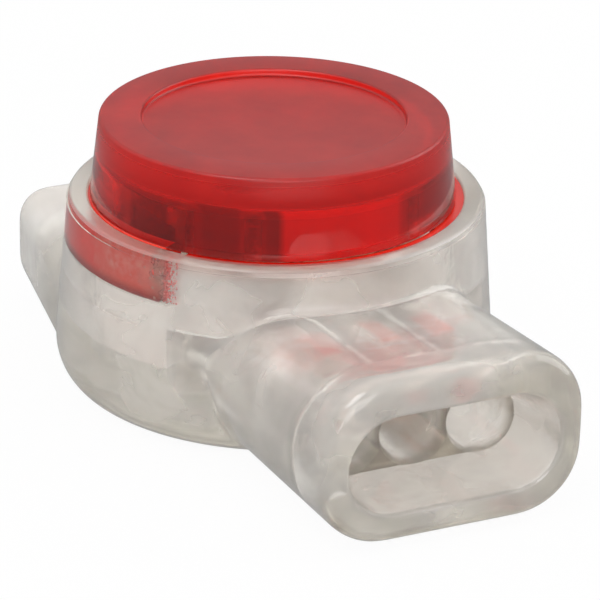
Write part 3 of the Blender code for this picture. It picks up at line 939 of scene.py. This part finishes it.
@dataclass
class Housing:
    """The clear housing: cup, nose and tail moulded in one."""

    low: Vector = field(default_factory=lambda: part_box("housing")[0])
    high: Vector = field(default_factory=lambda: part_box("housing")[1])
    skin: float = 0.1 * MM
    melt_factor: float = 0.5
    melt_steps: int = 24
    sharp_from: float = 32.0
    bore_radius: float = 5.88 * MM
    rim_wall: float = 0.62 * MM
    rim_edge: float = 0.14 * MM
    rim_spare: float = 0.6 * MM
    rim_trim: float = 0.02 * MM
    lip: float = 0.1 * MM
    floor_chamfer: float = 0.1 * MM
    foot_inset: float = 1.05 * MM
    foot_height: float = 1.35 * MM
    nose_extra: float = 0.2 * MM
    nose_root: float = 3.0 * MM
    nose_underside: float = 0.17 * MM
    nose_root_top: float = 4.37 * MM
    nose_half_width: float = 4.22 * MM
    nose_root_half_width: float = 4.53 * MM
    nose_top: float = 5.39 * MM
    nose_corner: float = 2.05 * MM
    nose_edge: float = 0.5 * MM
    mouth_depth: float = 2.6 * MM
    mouth_low: float = 1.15 * MM
    mouth_high: float = 4.2 * MM
    mouth_half_width: float = 3.42 * MM
    mouth_lip: tuple[Pair, ...] = (
        (-1.0 * MM, 0.14 * MM), (0.0, 0.14 * MM), (0.03 * MM, 0.06 * MM), (0.1 * MM, 0.015 * MM),
        (0.2 * MM, 0.0))
    mouth_back_spare: float = 0.03 * MM
    tail_root: float = 2.0 * MM
    tail_root_half_width: float = 6.35 * MM
    tail_root_heights: Pair = (0.1 * MM, 3.5 * MM)
    tail_half_width: float = 5.5 * MM
    tail_heights: Pair = (0.45 * MM, 3.8 * MM)
    tail_corner: float = 1.0 * MM
    tail_edge: float = 0.4 * MM
    channel_radius: float = 1.04 * MM
    channel_pitch: float = 2.2 * MM
    channel_height: float = 2.25 * MM
    channel_end: float = 0.8 * MM
    channel_dome: float = 0.5 * MM
    channel_lead: tuple[Pair, ...] = ((0.0, 0.25 * MM), (0.12 * MM, -0.02 * MM), (0.0, -0.1 * MM))
    channel_steps: int = 64
    well_floor: float = 3.6 * MM
    pocket_floor: float = 2.33 * MM
    pocket_inner_x: float = 3.85 * MM
    pocket_half_angle: float = 33.7
    pocket_radius: float = 5.86 * MM
    blade_spacing: float = 3.0 * MM
    slot_half_width: float = 3.54 * MM
    slot_half_depth: float = 0.3 * MM
    slot_floor: float = 0.85 * MM
    slot_edge: float = 0.05 * MM

    def rounded_end(self, y: float, outward: int, half_width: float, low: float, high: float,
                    corner: float, edge: float) -> list[Section]:
        """Sections that round the edge of an end face.

        Args:
            y: Where the end face is.
            outward: The end's direction along Y, one or minus one.
            half_width: The block's half width there.
            low: Its lowest Z.
            high: Its highest Z.
            corner: Its corner radius.
            edge: The radius of the rounded edge.

        Returns:
            The sections, the last one in the end face.
        """
        sections: list[Section] = []
        for across, along in arc((0.0, 0.0), (edge, edge), 0, 90, 5):
            inset = edge - across
            outline = rounded_outline(half_width - inset, low + inset, high - inset, corner - inset)
            sections.append((y - outward * (edge - along), outline))
        return sections

    def outer(self) -> Thing:
        """The outside of the moulding, its three blocks run together with small fillets.

        Returns:
            The solid, with the rim a little too high.
        """
        wall, inset, height = self.bore_radius + self.rim_wall, self.foot_inset, self.foot_height
        foot = arc((self.high.x - inset, height), (inset, height), 0, -90, 24)
        spare = self.high.z + self.rim_spare
        cup = turned("housing", [(0.0, spare), (wall, spare), *foot, (0.0, 0.0)])
        nose = lofted("nose", [
            (-self.nose_root, rounded_outline(self.nose_root_half_width, self.nose_underside,
                                              self.nose_root_top, self.nose_corner)),
            *self.rounded_end(self.low.y - self.nose_extra, -1, self.nose_half_width, self.nose_underside,
                              self.nose_top, self.nose_corner, self.nose_edge)])
        tail = lofted("tail", [
            (self.tail_root, rounded_outline(self.tail_root_half_width, *self.tail_root_heights,
                                             self.tail_corner)),
            *self.rounded_end(self.high.y, 1, self.tail_half_width, *self.tail_heights, self.tail_corner,
                              self.tail_edge)])
        combine(cup, [nose, tail], Cut.JOIN)
        skin = cup.modifiers.new("skin", "REMESH")
        skin.mode = "VOXEL"
        skin.voxel_size = self.skin
        melt = cup.modifiers.new("melt", "SMOOTH")
        melt.factor = self.melt_factor
        melt.iterations = self.melt_steps
        return settle(cup)

    def well(self) -> Thing:
        """The bore that the cap slides in and the top of the rim, with their rounded lips.

        Returns:
            The solid to cut away.
        """
        rim, radius, wall = self.high.z, self.bore_radius, self.bore_radius + self.rim_wall
        lip = arc((radius + self.lip, rim - self.lip), (self.lip, self.lip), 90, 180, 5)
        edge = arc((wall - self.rim_edge, rim - self.rim_edge), (self.rim_edge, self.rim_edge), 0, 90, 6)
        above, shoulder = rim + 2 * self.rim_spare, rim - 1.5 * self.rim_edge
        return turned("well", [
            (0.0, above), (wall + MM, above), (wall + MM, shoulder), (wall + self.rim_trim, shoulder),
            *edge, *lip, (radius, self.well_floor + self.floor_chamfer),
            (radius - self.floor_chamfer, self.well_floor), (0.0, self.well_floor)])

    def pocket(self, side: int) -> Thing:
        """The pocket for one of the cap's tabs, beside the channels.

        Args:
            side: One for the right, minus one for the left.

        Returns:
            The solid to cut away.
        """
        slope, inner = math.tan(math.radians(self.pocket_half_angle)), self.pocket_inner_x
        reach = (self.pocket_radius, self.pocket_radius)
        curve = arc((0.0, 0.0), reach, -self.pocket_half_angle, self.pocket_half_angle, 32)
        outline = [(side * x, side * y) for x, y in [(inner, -inner * slope), *curve, (inner, inner * slope)]]
        return raised("pocket", outline, self.pocket_floor, self.well_floor + MM)

    def mouth(self) -> Thing:
        """The mouth, from its rounded lip to the row of channels at its back.

        Returns:
            The solid to cut away.
        """
        front = self.low.y - self.nose_extra
        fully_round = self.mouth_high
        sections: list[Section] = []
        for inward, extra in self.mouth_lip:
            sections.append((front + inward, rounded_outline(
                self.mouth_half_width + extra, self.mouth_low - extra, self.mouth_high + extra, fully_round)))
        spare = self.mouth_back_spare
        low, high = self.channel_height - self.channel_radius, self.channel_height + self.channel_radius
        back = rounded_outline(self.channel_pitch + self.channel_radius + spare, low - spare, high + spare,
                               self.channel_radius)
        sections.append((self.low.y + self.mouth_depth, back))
        return lofted("mouth", sections)

    def channel(self, x: float) -> Thing:
        """One wire channel, with a softened entry and a domed blind end.

        Args:
            x: Where its axis is.

        Returns:
            The solid to cut away.
        """
        radius = self.channel_radius
        start = self.low.y + self.mouth_depth - radius
        length = self.high.y - self.channel_end - start
        dome = arc((0.0, length - self.channel_dome), (radius, self.channel_dome), 90, 0, 10)
        lead = [(radius + wide, radius + deep) for wide, deep in self.channel_lead]
        turn = Matrix.Translation((x, start, self.channel_height)) @ Matrix.Rotation(-math.pi / 2, 4, "X")
        return turned("channel", [(0.0, length), *dome[1:], *lead, (radius, 0.0), (0.0, 0.0)],
                      self.channel_steps, turn)

    def build(self, finish: Material) -> Thing:
        """Mould the housing, cut it out and dress it.

        Args:
            finish: The clear plastic.

        Returns:
            The finished piece.
        """
        housing = self.outer()
        cutters = [self.well(), self.pocket(-1), self.pocket(1), self.mouth()]
        cutters += [self.channel(x) for x in (-self.channel_pitch, 0.0, self.channel_pitch)]
        for y in (-self.blade_spacing / 2, self.blade_spacing / 2):
            cutters.append(block("slot", (-self.slot_half_width, y - self.slot_half_depth, self.slot_floor),
                                 (self.slot_half_width, y + self.slot_half_depth, self.well_floor + MM),
                                 self.slot_edge))
        combine(housing, cutters, Cut.REMOVE)
        dress(housing, finish, self.sharp_from)
        housing.name = "clear_housing"
        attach(housing, Body.HOUSING.value)
        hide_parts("housing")
        return housing


@dataclass
class Cap:
    """The red press cap with its sunk disc, two side tabs and grip ribs."""

    low: Vector = field(default_factory=lambda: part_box("cap")[0])
    high: Vector = field(default_factory=lambda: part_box("cap")[1])
    sharp_from: float = 35.0
    rim_height: float = 6.12 * MM
    top_radius: float = 5.45 * MM
    wall: float = 0.78 * MM
    ceiling: float = 7.47 * MM
    edge: float = 0.12 * MM
    inner_corner: float = 0.3 * MM
    disc_radius: float = 4.2 * MM
    disc_depth: float = 0.22 * MM
    disc_edge: float = 0.08 * MM
    skirt_bottom: float = 6.1 * MM
    tab_chamfers: Pair = (0.1 * MM, 0.05 * MM)
    tab_inner_x: float = 4.0 * MM
    tab_half_angle: float = 31.5
    rib_near: float = 1.8 * MM
    rib_thickness: float = 0.6 * MM
    rib_half_length: float = 2.4 * MM
    rib_root: float = 0.4 * MM
    rib_edge: float = 0.06 * MM
    play: Pair = (-0.09 * MM, 0.04 * MM)

    def profile(self) -> list[Pair]:
        """The cap's section, from the middle of the disc round to the ceiling.

        Returns:
            Radii and heights.
        """
        top, skirt, bottom = self.high.z, self.high.x, self.low.z
        floor, inner = top - self.disc_depth, skirt - self.wall
        soft, inward = self.disc_edge, self.inner_corner
        outside, inside = self.tab_chamfers
        return [(0.0, floor),
                *arc((self.disc_radius - 2 * soft, floor + soft), (soft, soft), -90, 0, 4),
                *arc((self.disc_radius, top - soft), (soft, soft), 180, 90, 4),
                *arc((self.top_radius - self.edge, top - self.edge), (self.edge, self.edge), 90, 5, 8),
                (skirt, self.rim_height), (skirt, bottom + outside), (skirt - outside, bottom),
                (inner + inside, bottom), (inner, bottom + inside),
                *arc((inner - inward, self.ceiling - inward), (inward, inward), 0, 90, 10),
                (0.0, self.ceiling)]

    def build(self, finish: Material) -> Thing:
        """Mould the cap, cut its skirt to two tabs and dress it.

        Args:
            finish: The red plastic.

        Returns:
            The finished piece.
        """
        cap = turned("red_cap", self.profile())
        far, near = self.high.x + MM, self.tab_inner_x
        slope = math.tan(math.radians(self.tab_half_angle))
        right = [(far, -far), (far, -slope * far), (near, -slope * near), (near, slope * near),
                 (far, slope * far), (far, far)]
        left = [(-x, -y) for x, y in right]
        combine(cap, [raised("skirt_cut", right + left, self.low.z - MM, self.skirt_bottom)], Cut.REMOVE)
        ribs = [block("rib", (-self.rib_half_length, side * self.rib_near, self.skirt_bottom),
                      (self.rib_half_length, side * (self.rib_near + self.rib_thickness),
                       self.ceiling + self.rib_root), self.rib_edge) for side in (-1, 1)]
        combine(cap, ribs, Cut.JOIN)
        cap.data.transform(Matrix.Translation((*self.play, 0.0)))
        dress(cap, finish, self.sharp_from)
        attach(cap, Body.CAP.value)
        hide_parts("cap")
        return cap


@dataclass
class Contact:
    """The slotted metal contact, one strip bent to a U."""

    low: Vector = field(default_factory=lambda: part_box("contact")[0])
    high: Vector = field(default_factory=lambda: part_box("contact")[1])
    sharp_from: float = 30.0
    plate: float = 0.4 * MM
    bend: float = 0.3 * MM
    slot_width: float = 0.5 * MM
    slot_crown: float = 4.95 * MM
    lead_width: float = 1.3 * MM
    lead_height: float = 0.5 * MM
    pitch: float = 2.2 * MM
    burr: float = 0.03 * MM
    burr_angle: float = 40.0

    def outline(self) -> list[Pair]:
        """The bent strip's section in Y and Z.

        Returns:
            The section's points.
        """
        outer, inner = self.high.y, self.high.y - self.plate
        top, tip = self.high.z, self.low.z
        big, small = self.bend + self.plate, self.bend
        under = top - self.plate - small
        return [(-outer, tip), *arc((big - outer, top - big), (big, big), 180, 90, 12),
                *arc((outer - big, top - big), (big, big), 90, 0, 12), (outer, tip), (inner, tip),
                *arc((inner - small, under), (small, small), 0, 90, 12),
                *arc((small - inner, under), (small, small), 90, 180, 12), (-inner, tip)]

    def wire_slot(self, x: float) -> Thing:
        """The slot that bites one wire, with its flared lead-in.

        Args:
            x: Where its middle is.

        Returns:
            The solid to cut away.
        """
        half, flare, tip = self.slot_width / 2, self.lead_width / 2, self.low.z
        lead = tip + self.lead_height
        points = [(-half, lead), (-flare, tip), (-flare, tip - MM), (flare, tip - MM), (flare, tip),
                  (half, lead), *arc((0.0, self.slot_crown), (half, half), 0, 180, 12)]
        shifted = [(x + a, z) for a, z in points]
        reach = 2 * self.high.y
        return lofted("wire_slot", [(-reach, shifted), (reach, shifted)])

    def build(self, finish: Material) -> Thing:
        """Bend the strip, stamp its slots and dress it.

        Args:
            finish: The tin plate.

        Returns:
            The finished piece.
        """
        rings = [[Vector((x, y, z)) for y, z in self.outline()] for x in (-self.high.x, self.high.x)]
        contact = ring_loft("slotted_contact", rings)
        combine(contact, [self.wire_slot(x) for x in (-self.pitch, 0.0, self.pitch)], Cut.REMOVE)
        edges = contact.modifiers.new("edges", "BEVEL")
        edges.width = self.burr
        edges.segments = 2
        edges.limit_method = "ANGLE"
        edges.angle_limit = math.radians(self.burr_angle)
        settle(contact)
        dress(contact, finish, self.sharp_from)
        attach(contact, Body.CAP.value)
        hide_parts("contact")
        return contact


@dataclass
class SealantGel:
    """The gel that fills the cup around the contact."""

    low: Vector = field(default_factory=lambda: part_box("sealant_gel")[0])
    high: Vector = field(default_factory=lambda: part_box("sealant_gel")[1])
    sharp_from: float = 35.0
    keep: float = 0.2
    edge: float = 0.35 * MM
    steps: int = 128
    leg_room: Triple = (3.6 * MM, 1.2 * MM, 1.95 * MM)
    rib_room: Triple = (2.65 * MM, 1.75 * MM, 2.65 * MM)
    strip_room: Triple = (3.6 * MM, 1.5 * MM, 1.15 * MM)
    room_edge: float = 0.1 * MM

    def build(self, finish: Material) -> Thing:
        """Shape the gel around the contact and the ribs and dress it.

        Args:
            finish: The gel.

        Returns:
            The finished piece.
        """
        radius, low, high, soft = self.high.x, self.low.z, self.high.z, self.edge
        rim = arc((radius - soft, high - soft), (soft, soft), 90, 0, 6)
        foot = arc((radius - soft, low + soft), (soft, soft), 0, -90, 6)
        gel = turned("gel_filling", [(0.0, high), *rim, *foot, (0.0, low)], self.steps)
        rooms = [block("room", (-half_length, side * near, low - MM), (half_length, side * far, high + MM),
                       self.room_edge)
                 for side in (-1, 1) for half_length, near, far in (self.leg_room, self.rib_room)]
        reach, across, depth = self.strip_room
        rooms.append(block("strip_room", (-reach, -across, high - depth), (reach, across, high + MM)))
        combine(gel, rooms, Cut.REMOVE)
        dress(gel, finish, self.sharp_from)
        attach(gel, Body.HOUSING.value)
        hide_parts("sealant_gel")
        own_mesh(gel)
        return gel


@dataclass
class GelFilm:
    """Gel squeezed up between the cap and the wall.

    A film beside the left tab makes the tab show through the wall. It ends in droplets, and a
    bead fills the gap round the rest of the rim.
    """

    sharp_from: float = 40.0
    radii: Pair = (5.70 * MM, 5.90 * MM)
    heights: Pair = (4.45 * MM, 6.00 * MM)
    ends: Pair = (147.0, 210.0)
    ragged: float = 1.8
    waves: tuple[Triple, ...] = ((1.2, 7.0, 0.0), (0.8, 19.0, 1.0))
    bead_radii: Pair = (5.62 * MM, 5.885 * MM)
    bead_heights: Pair = (5.82 * MM, 6.04 * MM)
    bead_ends: Pair = (218.0, 505.0)
    steps: int = 96
    rows: int = 14
    droplets: int = 400
    droplet_radius: Pair = (0.03 * MM, 0.09 * MM)
    droplet_start: float = -0.5
    droplet_reach: float = 7.5
    droplet_crowding: float = 1.5
    droplet_taper: Pair = (1.2, 0.6)
    seed: int = 7

    def band(self, shape: bmesh.types.BMesh, radii: Pair, heights: Pair, ends: Pair, ragged: float) -> None:
        """Add a curved slab.

        Args:
            shape: The mesh it goes in.
            radii: Its inner and outer radius.
            heights: Its lowest and highest Z.
            ends: Where it starts and ends, in degrees.
            ragged: How far its end wavers, in degrees.
        """
        sheets = []
        for radius in radii:
            grid = []
            for row in range(self.rows + 1):
                share = row / self.rows
                height = heights[0] + (heights[1] - heights[0]) * share
                wave = sum(size * math.sin(rate * share + shift) for size, rate, shift in self.waves)
                curve = arc((0.0, 0.0), (radius, radius), ends[0], ends[1] + ragged * wave, self.steps)
                grid.append([shape.verts.new((x, y, height)) for x, y in curve])
            sheets.append(grid)
            for lower, upper in zip(grid, grid[1:]):
                for i in range(self.steps):
                    shape.faces.new((lower[i], lower[i + 1], upper[i + 1], upper[i]))
        inner, outer = [
            grid[0] + [row[-1] for row in grid[1:]] + grid[-1][-2::-1] + [row[0] for row in grid[-2:0:-1]]
            for grid in sheets]
        for i in range(len(inner)):
            j = (i + 1) % len(inner)
            shape.faces.new((inner[i], inner[j], outer[j], outer[i]))

    def add_droplets(self, shape: bmesh.types.BMesh) -> None:
        """Scatter droplets past the film's end, fewer and smaller further out.

        Args:
            shape: The mesh they go in.
        """
        chance = random.Random(self.seed)
        middle, half = sum(self.radii) / 2, (self.radii[1] - self.radii[0]) / 2
        for _ in range(self.droplets):
            share = chance.random() ** self.droplet_crowding
            turn = math.radians(self.ends[1] + self.droplet_start + self.droplet_reach * share)
            taper = self.droplet_taper[0] - self.droplet_taper[1] * share
            radius = chance.uniform(*self.droplet_radius) * taper
            height = chance.uniform(self.heights[0] + radius, self.heights[1] - radius)
            spot = Vector((middle * math.cos(turn), middle * math.sin(turn), height))
            spread = (Matrix.Translation(spot) @ Matrix.Rotation(turn, 4, "Z")
                      @ Matrix.Diagonal((half, radius, radius, 1)))
            bmesh.ops.create_icosphere(shape, subdivisions=2, radius=1.0, matrix=spread)

    def build(self, finish: Material) -> Thing:
        """Spread the film, lay the bead, scatter the droplets and dress them.

        Args:
            finish: The gel.

        Returns:
            The finished piece.
        """
        shape = bmesh.new()
        self.band(shape, self.radii, self.heights, self.ends, self.ragged)
        self.band(shape, self.bead_radii, self.bead_heights, self.bead_ends, 0.0)
        self.add_droplets(shape)
        film = place_mesh(shape, "gel_film")
        dress(film, finish, self.sharp_from)
        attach(film, Body.HOUSING.value)
        return film


@dataclass
class Studio:
    """The table, the soft lights and the camera."""

    azimuth: float = -24.74
    elevation: float = 24.87
    distance: float = 110.0 * MM
    focal_px: float = 3432.8
    photo_px: float = 600.0
    sensor_mm: float = 36.0
    clip: Pair = (0.01, 5.0)
    aim: Triple = (1.13 * MM, 0.48 * MM, 1.96 * MM)
    roll: float = 0.020
    table_reach: float = 1.0
    table_gap: float = 0.02 * MM
    table_thickness: float = 0.01
    horizon: float = 0.5
    walls: float = 0.6
    overhead: float = 1.1
    wall_sines: Pair = (0.08, 0.32)
    ceiling_sines: Pair = (0.5, 0.8)
    lamps: tuple[tuple[str, Triple, float, float], ...] = (
        ("key", (-0.15, -0.10, 0.28), 0.16, 0.32),
        ("fill", (-0.08, -0.34, 0.10), 0.30, 0.54),
        ("side", (0.30, -0.02, 0.14), 0.25, 0.35),
        ("back", (-0.22, 0.25, 0.20), 0.25, 0.06))

    def camera(self) -> None:
        """A long lens at the photograph's viewing angle."""
        data = bpy.data.cameras.new("camera")
        data.sensor_width = self.sensor_mm
        data.lens = self.focal_px / self.photo_px * data.sensor_width
        data.clip_start, data.clip_end = self.clip
        camera = bpy.data.objects.new("camera", data)
        bpy.context.scene.collection.objects.link(camera)
        turn, tilt = math.radians(self.azimuth), math.radians(self.elevation)
        back = Vector((math.sin(turn) * math.cos(tilt), -math.cos(turn) * math.cos(tilt), math.sin(tilt)))
        place = back * self.distance
        facing = (Vector(self.aim) - place).to_track_quat("-Z", "Y").to_matrix().to_4x4()
        camera.matrix_world = Matrix.Translation(place) @ facing @ Matrix.Rotation(self.roll, 4, "Z")
        bpy.context.scene.camera = camera

    def lamp(self, name: str, place: Triple, size: float, power: float) -> None:
        """A square softbox aimed at the object.

        Args:
            name: The lamp's name.
            place: Where it hangs.
            size: The length of its sides.
            power: Its power in watts.
        """
        data = bpy.data.lights.new(name, "AREA")
        data.size = size
        data.energy = power
        lamp = bpy.data.objects.new(name, data)
        bpy.context.scene.collection.objects.link(lamp)
        turn = (-Vector(place)).to_track_quat("-Z", "Y").to_matrix().to_4x4()
        lamp.matrix_world = Matrix.Translation(place) @ turn

    def sky(self) -> None:
        """A room that is seen white, with grey walls and a bright ceiling."""
        world = bpy.data.worlds.new("studio")
        bpy.context.scene.world = world
        world.use_nodes = True
        tree = world.node_tree
        way = add_node(tree, "ShaderNodeTexCoord").outputs["Generated"]
        upward = add_node(tree, "ShaderNodeSeparateXYZ", links={0: way}).outputs["Z"]
        wall, ceiling = (
            add_node(tree, "ShaderNodeMapRange", between(sines, limits), {"Value": upward}).outputs[0]
            for sines, limits in ((self.wall_sines, (self.horizon, self.walls)),
                                  (self.ceiling_sines, (0.0, self.overhead - self.walls))))
        level = add_node(tree, "ShaderNodeMath", {"operation": "ADD"}, {0: wall, 1: ceiling})
        straight = seen_straight(tree)[0]
        strength = add_node(tree, "ShaderNodeMix", {"data_type": "FLOAT", 3: 1.0},
                            {0: straight, 2: level.outputs[0]})
        tree.links.new(strength.outputs[0], tree.nodes["Background"].inputs["Strength"])
        tree.nodes["Background"].inputs["Color"].default_value = grey(1.0)

    def build(self) -> None:
        """Set the table, the room, the lamps and the camera."""
        reach, top = self.table_reach, -self.table_gap
        table = block("table", (-reach, -reach, top - self.table_thickness), (reach, reach, top))
        table.data.materials.append(WhiteTable().build())
        self.sky()
        for name, place, size, power in self.lamps:
            self.lamp(name, place, size, power)
        self.camera()


def main() -> None:
    """Build the studio and each piece, and report them."""
    logging.basicConfig(level=logging.INFO, format="%(name)s: %(message)s")
    bpy.context.scene.view_settings.view_transform = "Standard"
    Studio().build()
    pieces = [
        Housing().build(ClearPolypropylene().build()),
        Cap().build(RedPolypropylene().build()),
        Contact().build(TinPlate().build()),
        SealantGel().build(SiliconeGel().build()),
        GelFilm().build(SqueezedGel().build()),
    ]
    for piece in pieces:
        LOG.info("%s: %d faces", piece.name, len(piece.data.polygons))


if __name__ == "__main__":
    main()
